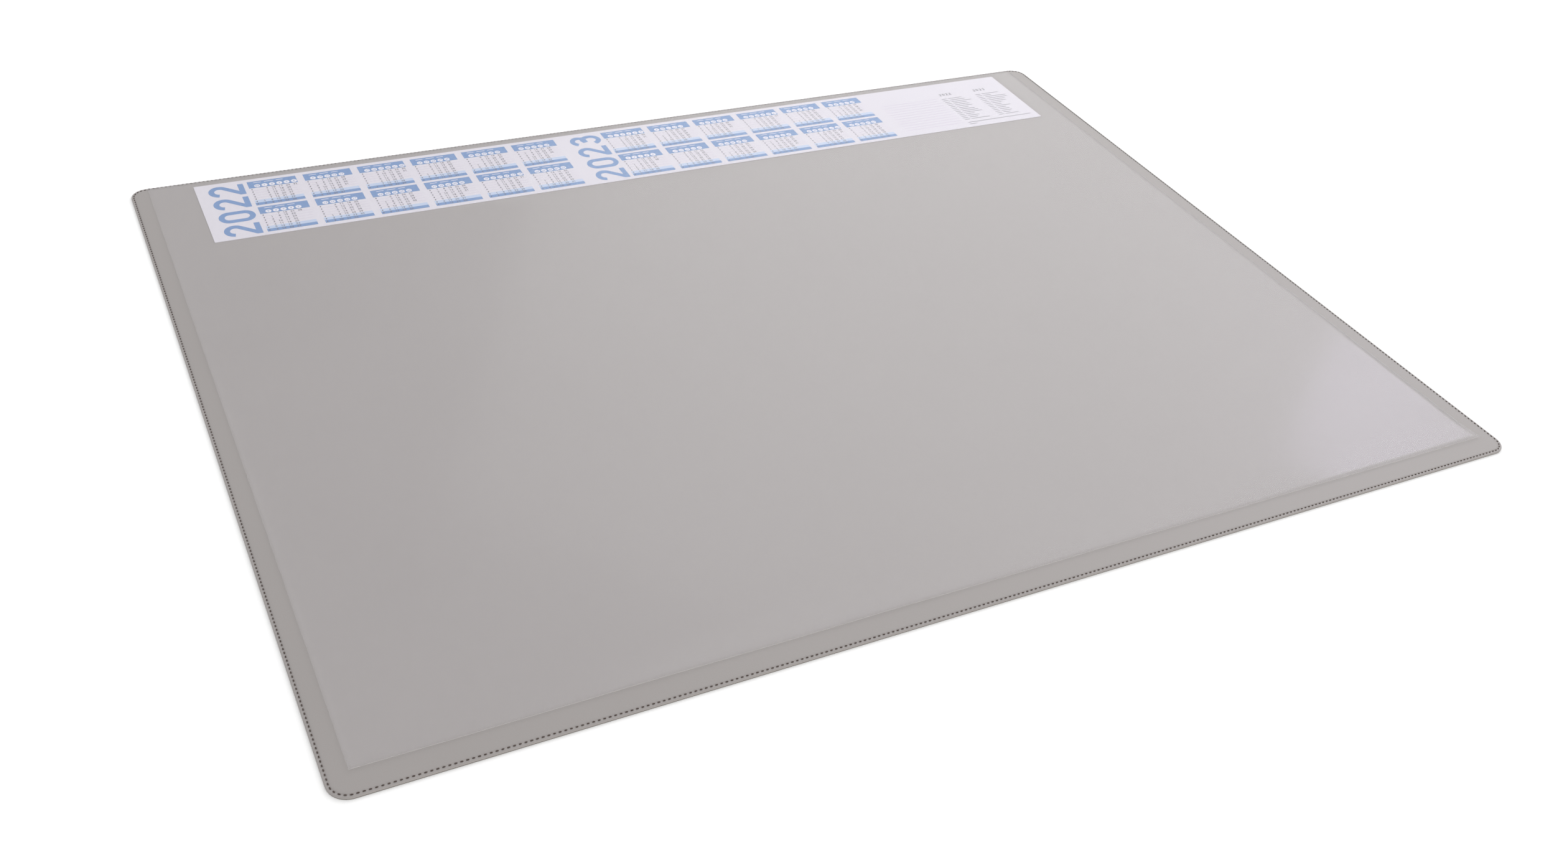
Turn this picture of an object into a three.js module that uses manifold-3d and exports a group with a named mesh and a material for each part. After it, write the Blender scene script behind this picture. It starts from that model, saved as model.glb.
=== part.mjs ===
// A desk pad with a two-year calendar strip that lies along its rear edge, under a clear film.
// Millimetres. +X to the right, +Y to the back of the desk, +Z up.
// The origin is in the middle of the underside, on the desk.
import * as THREE from "three";
import { mergeVertices } from "three/addons/utils/BufferGeometryUtils.js";
import Module from "manifold-3d";

const wasm = await Module();
wasm.setup();

// Pad: a grey cover sheet on a thin foamed backing.
const padLength = 650;
const padDepth = 500;
const cornerRadius = 9.7;
const cornerSteps = 14;
const coverThickness = 0.9;
const coverEdgeRadius = 0.4;
const coverEdgeSteps = 4;
const rimDrop = 0.12; // the edge outside the seam is pulled down by the stitching
const backingThickness = 0.5;
const backingSetback = 0.15; // the backing is trimmed a little short of the cover

// Seam that joins cover, backing and the rear edge of the film.
const seamInset = 1.4; // from the pad's outline to the middle of the seam
const threadWidth = 0.5;
const threadHeight = 0.24;
const threadSides = 6;
const threadClearance = 0.03; // above and below a thread
const threadSideRoom = 0.1; // on each side of a thread, in its groove
const grooveWall = 0.3; // width of each sloping side of the groove
const shoulderWidth = 0.12; // the outer part of that side, which slopes gently
const shoulderShare = 0.25; // how much of the groove's depth it takes
const coverGrooveDepth = 0.25;
const seamStart = 16; // along the front edge, from the left end of the pad
const seamEnd = 12.4;
const threadTurnIn = 1.2; // length over which each end of the thread goes down into its hole
const threadTip = 0.4; // how much of its thickness a thread keeps at its ends
const filmClimb = 1.2; // length over which the thread climbs onto the film's edge
const climbGap = 0.24; // from the film's side edge to the top of that climb

// Clear film: sewn in at the rear, loose and a little raised along its other three edges.
const filmThickness = 0.3;
const filmSideInset = 10.4;
const filmFrontInset = 13.2;
const filmRearInset = 0.55;
const filmSeat = 0.05; // between the film and what it bends over
const frontLift = 0.65;
const leftLift = 0.55;
const rightLift = 0.2;
const cornerLift = 0.3; // more at the front right corner, which curls
const frontWave = 0.12;
const frontWaves = 5;
const liftReach = 24; // from a loose edge to where the film lies flat again
const rearFade = 70; // the side edges settle over this length, ahead of the seam
const filmRamp = 3; // the film comes down from the strip over this length
const printRoom = 0.1; // between the film and the print under it
const liftSteps = 5; // across each raised edge
const stripSteps = 24; // along the strip
const flatSteps = 4; // from the raised front to the strip

// Calendar strip: a printed card, laid between pad and film.
const stripLength = 584.8;
const stripDepth = 68.3;
const stripThickness = 0.3;
const stripLeftInset = 36.3; // from the pad's left end to the strip's
const stripRearInset = 6.7; // from the pad's rear edge to the strip's
const stripCorner = 0.6;
const stripCornerSteps = 3;

// Fields of the print, which lies a little proud of the card.
const inkHeight = 0.03;
const yearCount = 2;
const monthColumns = 6;
const monthRows = 2;
const firstYearInset = 31; // from the strip's left end to the first month
const yearPitch = 233.5;
const monthPitch = 34.05;
const monthWidth = 29.5;
const rowPitch = 32.2;
const blockRearMargin = 3.2; // from the strip's rear edge to the upper row of months
const headerDepth = 8.3;
const saturdayRearOffset = 23.5; // from a month's rear edge to its light weekend band
const saturdayDepth = 3.1;
const sundayDepth = 3.1;

const leastRadius = 0.2; // of an outline that has been moved far inwards
const leastStep = 0.02; // stations that are closer than this are one
const weldDistance = 1e-4;

const coverBase = backingThickness;
const coverTop = coverBase + coverThickness;
const grooveBottom = coverTop - coverGrooveDepth;
const halfLength = padLength / 2;
const halfDepth = padDepth / 2;

/** The pad's outline, moved inwards by inset: the same number of points for every inset. */
function outline(inset) {
  const radius = Math.max(cornerRadius - inset, leastRadius);
  const x = halfLength - inset - radius;
  const y = halfDepth - inset - radius;
  const centres = [[x, y], [-x, y], [-x, -y], [x, -y]];
  return centres.flatMap(([cx, cy], quarter) =>
    Array.from({ length: cornerSteps + 1 }, (_, step) => {
      const angle = (quarter + step / cornerSteps) * (Math.PI / 2);
      return new THREE.Vector2(cx + radius * Math.cos(angle), cy + radius * Math.sin(angle));
    }),
  );
}

/** A closed surface from a list of points and one of triangles that share them. */
function surface(points, triangles) {
  const geometry = new THREE.BufferGeometry();
  geometry.setAttribute("position", new THREE.Float32BufferAttribute(points.flat(), 3));
  geometry.setIndex(triangles.flat());
  geometry.computeVertexNormals();
  return geometry;
}

/** Lofts through rings of one outline, from the middle of the first to the middle of the last. */
function ringLoft(rings) {
  const points = [[0, 0, rings[0].z]];
  const triangles = [];
  rings.forEach(({ inset, z }) => outline(inset).forEach((p) => points.push([p.x, p.y, z])));
  points.push([0, 0, rings.at(-1).z]);
  const count = outline(0).length;
  const corner = (ring, i) => 1 + ring * count + (i % count);
  for (let i = 0; i < count; i++) {
    triangles.push([0, corner(0, i + 1), corner(0, i)]);
    for (let ring = 0; ring + 1 < rings.length; ring++) {
      const [a, b] = [corner(ring, i), corner(ring, i + 1)];
      const [c, d] = [corner(ring + 1, i), corner(ring + 1, i + 1)];
      triangles.push([a, b, d], [a, d, c]);
    }
    triangles.push([points.length - 1, corner(rings.length - 1, i), corner(rings.length - 1, i + 1)]);
  }
  return surface(points, triangles);
}

const grooveFloor = threadWidth / 2 + threadSideRoom; // half the width of the groove's floor
const grooveReach = grooveFloor + grooveWall;

/** Across the groove: offsets from its middle, each with its share of the depth. */
const groove = [
  { offset: -grooveReach, share: 0 },
  { offset: -grooveReach + shoulderWidth, share: shoulderShare },
  { offset: -grooveFloor, share: 1 },
  { offset: grooveFloor, share: 1 },
  { offset: grooveReach - shoulderWidth, share: shoulderShare },
  { offset: grooveReach, share: 0 },
];

/** The cover's upper side as rings, from the bottom of its edge inwards to the flat. */
function coverProfile() {
  const rimTop = coverTop - rimDrop;
  const edge = [{ inset: 0, z: coverBase }];
  for (let step = 0; step <= coverEdgeSteps; step++) {
    const angle = (step / coverEdgeSteps) * (Math.PI / 2);
    edge.push({
      inset: coverEdgeRadius * (1 - Math.cos(angle)),
      z: rimTop - coverEdgeRadius * (1 - Math.sin(angle)),
    });
  }
  const across = groove.map(({ offset, share }) => {
    const brim = offset < 0 ? rimTop : coverTop;
    return { inset: seamInset + offset, z: THREE.MathUtils.lerp(brim, grooveBottom, share) };
  });
  return [...edge, ...across];
}

/** The cover: a sheet with a rounded edge and the groove that the seam presses into it. */
function cover() {
  return ringLoft(coverProfile());
}

/** The backing: a flat sheet whose underside has a groove that takes the whole of the lower thread. */
function backing() {
  const depth = threadHeight + 2 * threadClearance;
  const across = groove
    .map(({ offset, share }) => ({ inset: seamInset + offset, z: depth * share }))
    .reverse();
  const edge = [
    { inset: backingSetback, z: 0 },
    { inset: backingSetback, z: backingThickness },
  ];
  return ringLoft([...across, ...edge]);
}

const filmLeft = -halfLength + filmSideInset;
const filmRight = halfLength - filmSideInset;
const filmFront = -halfDepth + filmFrontInset;
const stripLeft = -halfLength + stripLeftInset;
const stripRight = stripLeft + stripLength;
const stripRear = halfDepth - stripRearInset;
const stripFront = stripRear - stripDepth;

/** 1 at the start of a stretch, 0 past its end, with a smooth way down. */
function falloff(distance, reach) {
  const share = THREE.MathUtils.clamp(1 - distance / reach, 0, 1);
  return share * share;
}

/** How far the film's loose edges stand off the pad at a place. */
function filmLift(x, y) {
  const toFront = y - filmFront;
  const toLeft = x - filmLeft;
  const toRight = filmRight - x;
  const toSeam = halfDepth - seamInset - y;
  const held = 1 - falloff(Math.max(toSeam - stripRearInset, 0), rearFade);
  const wave = Math.cos((toLeft / (filmRight - filmLeft)) * frontWaves * 2 * Math.PI);
  const front = (frontLift + frontWave * wave) * falloff(toFront, liftReach);
  const sides = leftLift * falloff(toLeft, liftReach) + rightLift * falloff(toRight, liftReach);
  const corner = cornerLift * falloff(toFront, liftReach) * falloff(toRight, liftReach);
  return Math.max(front, sides * held) + corner;
}

/** How far the film is raised by the strip under it: all over the strip, with ramps round it. */
function overStrip(x, y) {
  const outsideX = Math.max(stripLeft - x, x - stripRight, 0);
  const outsideY = Math.max(stripFront - y, y - stripRear, 0);
  const share = Math.max(1 - outsideX / filmRamp, 0) * Math.max(1 - outsideY / filmRamp, 0);
  return share * (stripThickness + inkHeight + printRoom);
}

/** The cover's height at a distance in from its outline, with the film's seat on its curved rim. */
function rimHeight(inset) {
  const rings = coverProfile().slice(1);
  const next = rings.findIndex((ring) => ring.inset >= inset);
  if (next < 0) return coverTop;
  if (next === 0) return rings[0].z + filmSeat;
  const [a, b] = [rings[next - 1], rings[next]];
  return THREE.MathUtils.mapLinear(inset, a.inset, b.inset, a.z, b.z) + filmSeat;
}

/** The film's underside. */
function filmHeight(x, y) {
  const inset = halfDepth - y;
  const flatFrom = seamInset + grooveReach;
  return inset < flatFrom ? rimHeight(inset) : coverTop + filmLift(x, y) + overStrip(x, y);
}

/** Places from one value to another, with so many equal steps between. */
function stations(from, to, steps) {
  return Array.from({ length: steps + 1 }, (_, i) => from + ((to - from) * i) / steps);
}

/** The values in rising order, with doubles left out. */
function ascending(values) {
  const sorted = [...values].sort((a, b) => a - b);
  return sorted.filter((value, i) => i === 0 || value - sorted[i - 1] > leastStep);
}

/** The film: one sheet of even thickness, bent over the strip and down into the seam. */
function film() {
  const rearEdge = halfDepth - filmRearInset;
  const columns = ascending([
    ...stations(filmLeft, filmLeft + liftReach, liftSteps),
    stripLeft - filmRamp,
    stripLeft,
    ...stations(stripLeft + filmRamp, stripRight - filmRamp, stripSteps),
    stripRight,
    stripRight + filmRamp,
    ...stations(filmRight - liftReach, filmRight, liftSteps),
  ]);
  const rows = ascending([
    ...stations(filmFront, filmFront + liftReach, liftSteps),
    ...stations(filmFront + liftReach, stripFront - filmRamp, flatSteps),
    stripFront,
    stripRear,
    stripRear + filmRamp,
    ...groove.map(({ offset }) => halfDepth - seamInset - offset),
    rearEdge,
  ]).filter((y) => y <= rearEdge);
  const points = [];
  const under = (i, j) => 2 * (j * columns.length + i);
  rows.forEach((y) =>
    columns.forEach((x) => {
      const z = filmHeight(x, y);
      points.push([x, y, z], [x, y, z + filmThickness]);
    }),
  );
  const triangles = [];
  const wall = (a, b) => triangles.push([a, b, b + 1], [a, b + 1, a + 1]);
  for (let j = 0; j + 1 < rows.length; j++) {
    for (let i = 0; i + 1 < columns.length; i++) {
      const [a, b] = [under(i, j), under(i + 1, j)];
      const [c, d] = [under(i, j + 1), under(i + 1, j + 1)];
      triangles.push([a, d, b], [a, c, d], [a + 1, b + 1, d + 1], [a + 1, d + 1, c + 1]);
    }
    wall(under(0, j + 1), under(0, j));
    wall(under(columns.length - 1, j), under(columns.length - 1, j + 1));
  }
  for (let i = 0; i + 1 < columns.length; i++) {
    wall(under(i, 0), under(i + 1, 0));
    wall(under(i + 1, rows.length - 1), under(i, rows.length - 1));
  }
  return surface(points, triangles);
}

/** A closed geometry as a solid that can be joined. */
function solid(geometry) {
  const bare = geometry.index ? geometry.toNonIndexed() : geometry.clone();
  for (const name of Object.keys(bare.attributes)) {
    if (name !== "position") bare.deleteAttribute(name);
  }
  const merged = mergeVertices(bare, weldDistance);
  return new wasm.Manifold(
    new wasm.Mesh({
      numProp: 3,
      vertProperties: new Float32Array(merged.attributes.position.array),
      triVerts: new Uint32Array(merged.index.array),
    }),
  );
}

/** A solid back as a geometry. */
function geometryOf(joined) {
  const mesh = joined.getMesh();
  const geometry = new THREE.BufferGeometry();
  geometry.setAttribute("position", new THREE.BufferAttribute(mesh.vertProperties, 3));
  geometry.setIndex(new THREE.BufferAttribute(mesh.triVerts, 1));
  const faceted = geometry.toNonIndexed();
  faceted.computeVertexNormals();
  return faceted;
}

/** A rectangle with rounded corners, from its front left corner. */
function cardShape(width, depth, radius) {
  const shape = new THREE.Shape();
  shape.absarc(width - radius, radius, radius, -Math.PI / 2, 0);
  shape.absarc(width - radius, depth - radius, radius, 0, Math.PI / 2);
  shape.absarc(radius, depth - radius, radius, Math.PI / 2, Math.PI);
  shape.absarc(radius, radius, radius, Math.PI, (3 * Math.PI) / 2);
  return shape;
}

/** One printed field on the strip, sunk into the card so that the two are one sheet. */
function inkField(x, rear, width, depth) {
  const sunk = stripThickness / 2;
  const field = new THREE.BoxGeometry(width, depth, sunk + inkHeight);
  const z = coverTop + stripThickness + inkHeight - (sunk + inkHeight) / 2;
  return field.translate(x + width / 2, rear - depth / 2, z);
}

/** The fields of every month: a header band, and the two bands of the weekend below the weekdays. */
function monthFields() {
  const fields = [];
  for (let year = 0; year < yearCount; year++) {
    for (let column = 0; column < monthColumns; column++) {
      for (let row = 0; row < monthRows; row++) {
        const x = stripLeft + firstYearInset + year * yearPitch + column * monthPitch;
        const rear = stripRear - blockRearMargin - row * rowPitch;
        const weekend = rear - saturdayRearOffset;
        fields.push(inkField(x, rear, monthWidth, headerDepth));
        fields.push(inkField(x, weekend, monthWidth, saturdayDepth + sundayDepth));
      }
    }
  }
  return fields;
}

/** The strip: a thin card with its months printed on the upper face. */
function calendarStrip() {
  const card = new THREE.ExtrudeGeometry(cardShape(stripLength, stripDepth, stripCorner), {
    depth: stripThickness,
    bevelEnabled: false,
    curveSegments: stripCornerSteps,
  }).translate(stripLeft, stripFront, coverTop);
  return geometryOf(monthFields().reduce((sheet, field) => sheet.add(solid(field)), solid(card)));
}

/** The seam's line as a closed path, from the middle of the front edge to the right and round. */
function seamPath() {
  const radius = cornerRadius - seamInset;
  const x = halfLength - seamInset - radius;
  const y = halfDepth - seamInset - radius;
  const path = new THREE.CurvePath();
  const line = (x1, y1, x2, y2) =>
    path.add(new THREE.LineCurve(new THREE.Vector2(x1, y1), new THREE.Vector2(x2, y2)));
  const arc = (cx, cy, start) =>
    path.add(new THREE.EllipseCurve(cx, cy, radius, radius, start, start + Math.PI / 2));
  line(0, -y - radius, x, -y - radius);
  arc(x, -y, -Math.PI / 2);
  line(x + radius, -y, x + radius, y);
  arc(x, y, 0);
  line(x, y + radius, -x, y + radius);
  arc(-x, y, Math.PI / 2);
  line(-x - radius, y, -x - radius, -y);
  arc(-x, -y, Math.PI);
  line(-x, -y - radius, 0, -y - radius);
  return path;
}

/** Lengths along the seam's path at which a thread needs a station. */
function seamStations(extra) {
  const path = seamPath();
  const ends = path.getCurveLengths();
  const total = ends.at(-1);
  const first = total - (halfLength - seamStart);
  const last = total + total - (halfLength - seamEnd);
  const wanted = [first, first + threadTurnIn, last - threadTurnIn, last];
  ends.forEach((end, i) => {
    const begin = i ? ends[i - 1] : 0;
    const steps = path.curves[i] instanceof THREE.EllipseCurve ? cornerSteps : 1;
    wanted.push(...stations(begin, end, steps), ...stations(begin, end, steps).map((s) => s + total));
  });
  wanted.push(...extra.flatMap((s) => [s, s + total]));
  return { path, total, first, last, lengths: ascending(wanted.filter((s) => s >= first && s <= last)) };
}

/** A thread laid along the seam on the height that base gives; its ends thin towards their holes. */
function thread(base, extra, holeAbove) {
  const { path, total, first, last, lengths } = seamStations(extra);
  const points = [];
  lengths.forEach((length) => {
    const share = (length % total) / total;
    const at = path.getPoint(share);
    const side = path.getTangent(share).rotateAround(new THREE.Vector2(), -Math.PI / 2);
    const toEnd = Math.min(length - first, last - length);
    const slim = THREE.MathUtils.clamp(toEnd / threadTurnIn, threadTip, 1);
    const floor = base(at) + (holeAbove ? threadHeight * (1 - slim) : 0);
    for (let i = 0; i < threadSides; i++) {
      const angle = (i / threadSides) * 2 * Math.PI;
      const out = (threadWidth / 2) * slim * Math.cos(angle);
      const up = (threadHeight / 2) * slim * (1 + Math.sin(angle));
      points.push([at.x + side.x * out, at.y + side.y * out, floor + up]);
    }
  });
  const triangles = [];
  const corner = (station, i) => station * threadSides + (i % threadSides);
  for (let station = 0; station + 1 < lengths.length; station++) {
    for (let i = 0; i < threadSides; i++) {
      const [a, b] = [corner(station, i), corner(station, i + 1)];
      const [c, d] = [corner(station + 1, i), corner(station + 1, i + 1)];
      triangles.push([a, d, b], [a, c, d]);
    }
  }
  for (let i = 1; i + 1 < threadSides; i++) {
    triangles.push([corner(0, 0), corner(0, i), corner(0, i + 1)]);
    const end = lengths.length - 1;
    triangles.push([corner(end, 0), corner(end, i + 1), corner(end, i)]);
  }
  return surface(points, triangles);
}

/** The upper thread: in the cover's groove, and over the film along the rear. */
function needleThread() {
  const inGroove = grooveBottom + threadClearance;
  const onFilm = grooveBottom + filmSeat + filmThickness + threadClearance;
  const climbTop = filmRight + climbGap;
  const offFilm = (x) => THREE.MathUtils.clamp((Math.abs(x) - climbTop) / filmClimb, 0, 1);
  const base = (at) => (at.y > 0 ? THREE.MathUtils.lerp(onFilm, inGroove, offFilm(at.x)) : inGroove);
  const [, , , rearStart, rearEnd] = seamPath().getCurveLengths();
  const rearMiddle = (rearStart + rearEnd) / 2;
  const extra = [climbTop, climbTop + filmClimb].flatMap((x) => [rearMiddle - x, rearMiddle + x]);
  return thread(base, extra, false);
}

/** The lower thread: in the groove of the backing, just clear of the desk. */
function bobbinThread() {
  return thread(() => threadClearance, [], true);
}

/** A named piece with its own finish. */
function piece(name, geometry, color, roughness, more = {}) {
  const material = new THREE.MeshStandardMaterial({ color, roughness, metalness: 0, ...more });
  const mesh = new THREE.Mesh(geometry, material);
  mesh.name = name;
  return mesh;
}

const deskPadCalendar = new THREE.Group();
deskPadCalendar.add(
  piece("anti_slip_backing", backing(), 0x4a4744, 0.95),
  piece("top_cover", cover(), 0xaca7a4, 0.6),
  piece("calendar_strip", calendarStrip(), 0xe8e6ee, 0.5),
  piece("clear_overlay", film(), 0xe6e6e6, 0.3, { transparent: true, opacity: 0.3 }),
  piece("needle_thread", needleThread(), 0x7c716c, 0.85),
  piece("bobbin_thread", bobbinThread(), 0x5f5854, 0.85),
);

export default deskPadCalendar;
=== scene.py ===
# %% [markdown]
# # A desk pad with a calendar strip under its clear film
# The pad is a grey plastic sheet on a thin foamed backing. One seam runs round its edge. A clear matt
# film is caught in that seam at the rear and lies loose over the rest, and a printed card with two years
# of dates lies under the film. Everything here is in metres, in the frame of the measured model: the
# origin is in the middle of the underside, X runs to the right and Y to the rear.

# %% Load the measured model
import calendar
import datetime
import math
import random

import bpy
import numpy as np
from mathutils import Matrix, Vector


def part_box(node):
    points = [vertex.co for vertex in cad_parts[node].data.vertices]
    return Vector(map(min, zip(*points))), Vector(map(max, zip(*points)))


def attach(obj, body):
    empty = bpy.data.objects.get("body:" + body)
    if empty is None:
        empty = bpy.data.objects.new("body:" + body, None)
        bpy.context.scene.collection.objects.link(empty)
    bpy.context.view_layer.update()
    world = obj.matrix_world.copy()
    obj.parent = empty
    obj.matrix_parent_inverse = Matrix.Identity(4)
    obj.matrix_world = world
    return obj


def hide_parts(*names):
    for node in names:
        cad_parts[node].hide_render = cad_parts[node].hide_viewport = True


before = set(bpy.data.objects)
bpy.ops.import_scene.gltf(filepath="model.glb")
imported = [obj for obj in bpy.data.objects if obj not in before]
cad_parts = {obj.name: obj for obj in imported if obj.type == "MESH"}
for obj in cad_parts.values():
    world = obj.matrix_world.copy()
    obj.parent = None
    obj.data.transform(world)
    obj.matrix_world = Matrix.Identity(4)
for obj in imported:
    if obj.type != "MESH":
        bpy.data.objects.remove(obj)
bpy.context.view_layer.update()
mm = 0.001

# %% [markdown]
# ## Camera
# The place and turn of the camera were solved from the four straight edges of the pad. It stands in front
# and to the left, looks down at about 38 degrees, and is rolled a little. A camera is easiest to read as a
# place, a point that it looks at and a roll about that line.

# %% Camera
camera_place = Vector((-381.07, -655.98, 499.09)) * mm
camera_aim = Vector((-51.08, -96.59, 0)) * mm
camera_roll = math.radians(6.66)
camera_lens = 35.706
camera = bpy.data.objects.new("camera", bpy.data.cameras.new("camera"))
camera.data.lens = camera_lens
camera.data.sensor_width = 36
camera.location = camera_place
view_line = (camera_aim - camera_place).to_track_quat("-Z", "Y").to_matrix()
camera.rotation_euler = (view_line @ Matrix.Rotation(camera_roll, 3, "Z")).to_euler()
bpy.context.scene.collection.objects.link(camera)
bpy.context.scene.camera = camera
print("camera distance in mm:", round((camera_aim - camera_place).length / mm))

# %% [markdown]
# ## Two small helpers for node trees
# Materials and Geometry Nodes are both trees of nodes. `Maker.node` adds any node: its type, its settings,
# and then what goes into its sockets. `Wire` is one output socket that knows Python's operators, so that a
# mask can be written as `1 - edge * 0.5` and the Math nodes add themselves.


# %% Node helpers
class Wire:
    """An output socket. Arithmetic on it adds Math nodes to its tree."""

    def __init__(self, maker, socket):
        self.maker, self.socket = maker, socket

    def math(self, operation, first, second):
        made = self.maker.node("ShaderNodeMath", {"operation": operation}, {0: first, 1: second})
        return self.maker.out(made, "Value")

    def __add__(self, other):
        return self.math("ADD", self, other)

    def __sub__(self, other):
        return self.math("SUBTRACT", self, other)

    def __rsub__(self, other):
        return self.math("SUBTRACT", other, self)

    def __mul__(self, other):
        return self.math("MULTIPLY", self, other)

    def __truediv__(self, other):
        return self.math("DIVIDE", self, other)

    def absolute(self):
        return self.math("ABSOLUTE", self, 0)

    def maximum(self, other):
        return self.math("MAXIMUM", self, other)

    def clamped(self):
        return self.math("MINIMUM", self.math("MAXIMUM", self, 0), 1)

    __radd__ = __add__
    __rmul__ = __mul__


class Maker:
    """Adds nodes to one tree."""

    def __init__(self, tree):
        self.tree = tree
        tree.nodes.clear()

    def node(self, kind, settings=None, inputs=None):
        made = self.tree.nodes.new(kind)
        for name, value in (settings or {}).items():
            setattr(made, name, value)
        for name, value in (inputs or {}).items():
            socket = self.find(made.inputs, name)
            if isinstance(value, Wire):
                self.tree.links.new(value.socket, socket)
            else:
                socket.default_value = value
        return made

    def out(self, made, name):
        return Wire(self, self.find(made.outputs, name))

    @staticmethod
    def find(sockets, name):
        if isinstance(name, int):
            return sockets[name]
        return next(s for s in sockets if s.name == name and s.enabled)


print("a Wire has", [name for name in vars(Wire) if name != "math" and not name.startswith("__")])


# %% [markdown]
# ## Finishes
# Colours are easiest to judge as they are seen, so they are written as screen values from 0 to 255 and
# turned into the linear values that the renderer works with. Each finish starts from one Principled shader.
# Patterns read Object coordinates, which are metres here, so a Noise scale of 2000 is a grain of about half
# a millimetre.


# %% Colour and material helpers
def screen(red, green, blue):
    """A screen colour, 0 to 255 and none of it near black, as linear values."""
    linear = [((v / 255 + 0.055) / 1.055) ** 2.4 for v in (red, green, blue)]
    return (*linear, 1)


def finish(name, constants):
    """A material with a Principled shader; constants are set on its own sockets."""
    material = bpy.data.materials.new(name)
    material.use_nodes = True
    maker = Maker(material.node_tree)
    shader = maker.node("ShaderNodeBsdfPrincipled", None, constants)
    maker.node("ShaderNodeOutputMaterial", None, {"Surface": maker.out(shader, "BSDF")})
    return material, maker, shader


def join_to(maker, wire, shader, socket):
    """Feeds one socket of a shader that is already there."""
    maker.tree.links.new(wire.socket, shader.inputs[socket])


def place_on(maker):
    """Object coordinates of the piece, in metres."""
    return maker.out(maker.node("ShaderNodeTexCoord"), "Object")


def noise(maker, scale, detail=2.0, roughness=0.5, offset=(0, 0, 0), stretch=(1, 1, 1)):
    """A Noise texture in the piece's own space; its mean is 0.5."""
    moved = {"Vector": place_on(maker), "Location": offset, "Scale": stretch}
    mapping = maker.node("ShaderNodeMapping", None, moved)
    inputs = {"Vector": maker.out(mapping, "Vector"), "Scale": scale}
    inputs.update({"Detail": detail, "Roughness": roughness})
    return maker.out(maker.node("ShaderNodeTexNoise", None, inputs), "Fac")


def blend(maker, share, low, high):
    """A colour between low, where share is 0, and high, where it is 1."""
    inputs = {"Factor": share, "A": low, "B": high}
    mixed = maker.node("ShaderNodeMix", {"data_type": "RGBA"}, inputs)
    return maker.out(mixed, "Result")


def bump(maker, height, strength, distance):
    """A normal from a height between 0 and 1; distance is what a height of 1 stands for."""
    inputs = {"Height": height, "Strength": strength, "Distance": distance}
    return maker.out(maker.node("ShaderNodeBump", None, inputs), "Normal")


# %% [markdown]
# The cover is a calendered plastic sheet: nearly even in colour, with a fine leather-like emboss and a
# cloudy change of a few per cent across the sheet. The emboss is far too fine for geometry, so it is bump:
# Voronoi cells make the pebbles, and noise keeps them from looking stamped.

# %% Cover sheet
cover_low, cover_high = screen(148, 143, 141), screen(156, 151, 149)
cloud_scale, speckle_scale, pebble_scale = 9, 1400, 1500
pebble_height = 0.05 * mm
cover_sheet, maker, shader = finish("cover_sheet", {"Roughness": 0.5, "Specular IOR Level": 0.5})
clouds = noise(maker, cloud_scale, detail=3)
speckle = noise(maker, speckle_scale, detail=1, offset=(3, 1, 0))
join_to(maker, blend(maker, clouds * 0.7 + speckle * 0.3, cover_low, cover_high), shader, "Base Color")
cells = maker.node("ShaderNodeTexVoronoi", None, {"Vector": place_on(maker), "Scale": pebble_scale})
pebbles = maker.out(cells, "Distance") * 0.8 + speckle * 0.4
join_to(maker, bump(maker, pebbles, 0.35, pebble_height), shader, "Normal")
join_to(maker, clouds * 0.1 + speckle * 0.08 + 0.41, shader, "Roughness")
print("cover colour:", [round(v, 3) for v in cover_low[:3]])

# %% [markdown]
# The backing is a dark foamed sheet. Its skin is dull and full of tiny open pores, which grip the desk. Its
# colour is darker at the bottom of each pore, which is painted shade.

# %% Backing foam
foam_low, foam_high = screen(104, 99, 93), screen(126, 121, 114)
pore_scale, mottle_scale, pore_height = 1100, 60, 0.2 * mm
backing_foam, maker, shader = finish("backing_foam", {"Roughness": 0.9, "Specular IOR Level": 0.3})
pores = maker.node("ShaderNodeTexVoronoi", None, {"Vector": place_on(maker), "Scale": pore_scale})
pore_depth = maker.out(pores, "Distance")
mottle = noise(maker, mottle_scale, detail=2)
# painted shade: the colour is darker where the pores are deep
foam_color_with_pore_shade = blend(maker, pore_depth * 0.6 + mottle * 0.4, foam_low, foam_high)
join_to(maker, foam_color_with_pore_shade, shader, "Base Color")
join_to(maker, bump(maker, pore_depth, 0.7, pore_height), shader, "Normal")
join_to(maker, mottle * 0.1 + 0.84, shader, "Roughness")
print("foam pores of about", round(1 / pore_scale / mm, 1), "mm")

# %% [markdown]
# The card is smooth coated board, a cool white. Long soft fibres show in its bump only at a low angle. The
# inks share one recipe: a colour that varies by a per cent or two, as a screened print does, with a little
# more gloss than the board.


# %% Card and inks
tooth_scale, tooth_height = 2600, 0.02 * mm


def printed_finish(name, low, high, roughness, grain=500):
    """Board or ink: two close colours, a fine grain and an almost flat surface."""
    material, maker, shader = finish(name, {"Roughness": roughness, "Specular IOR Level": 0.4})
    tone = noise(maker, grain, detail=2, stretch=(1, 0.4, 1))
    join_to(maker, blend(maker, tone, low, high), shader, "Base Color")
    tooth = noise(maker, tooth_scale, detail=1)
    join_to(maker, bump(maker, tooth, 0.2, tooth_height), shader, "Normal")
    join_to(maker, tone * 0.1 + (roughness - 0.05), shader, "Roughness")
    return material


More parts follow.
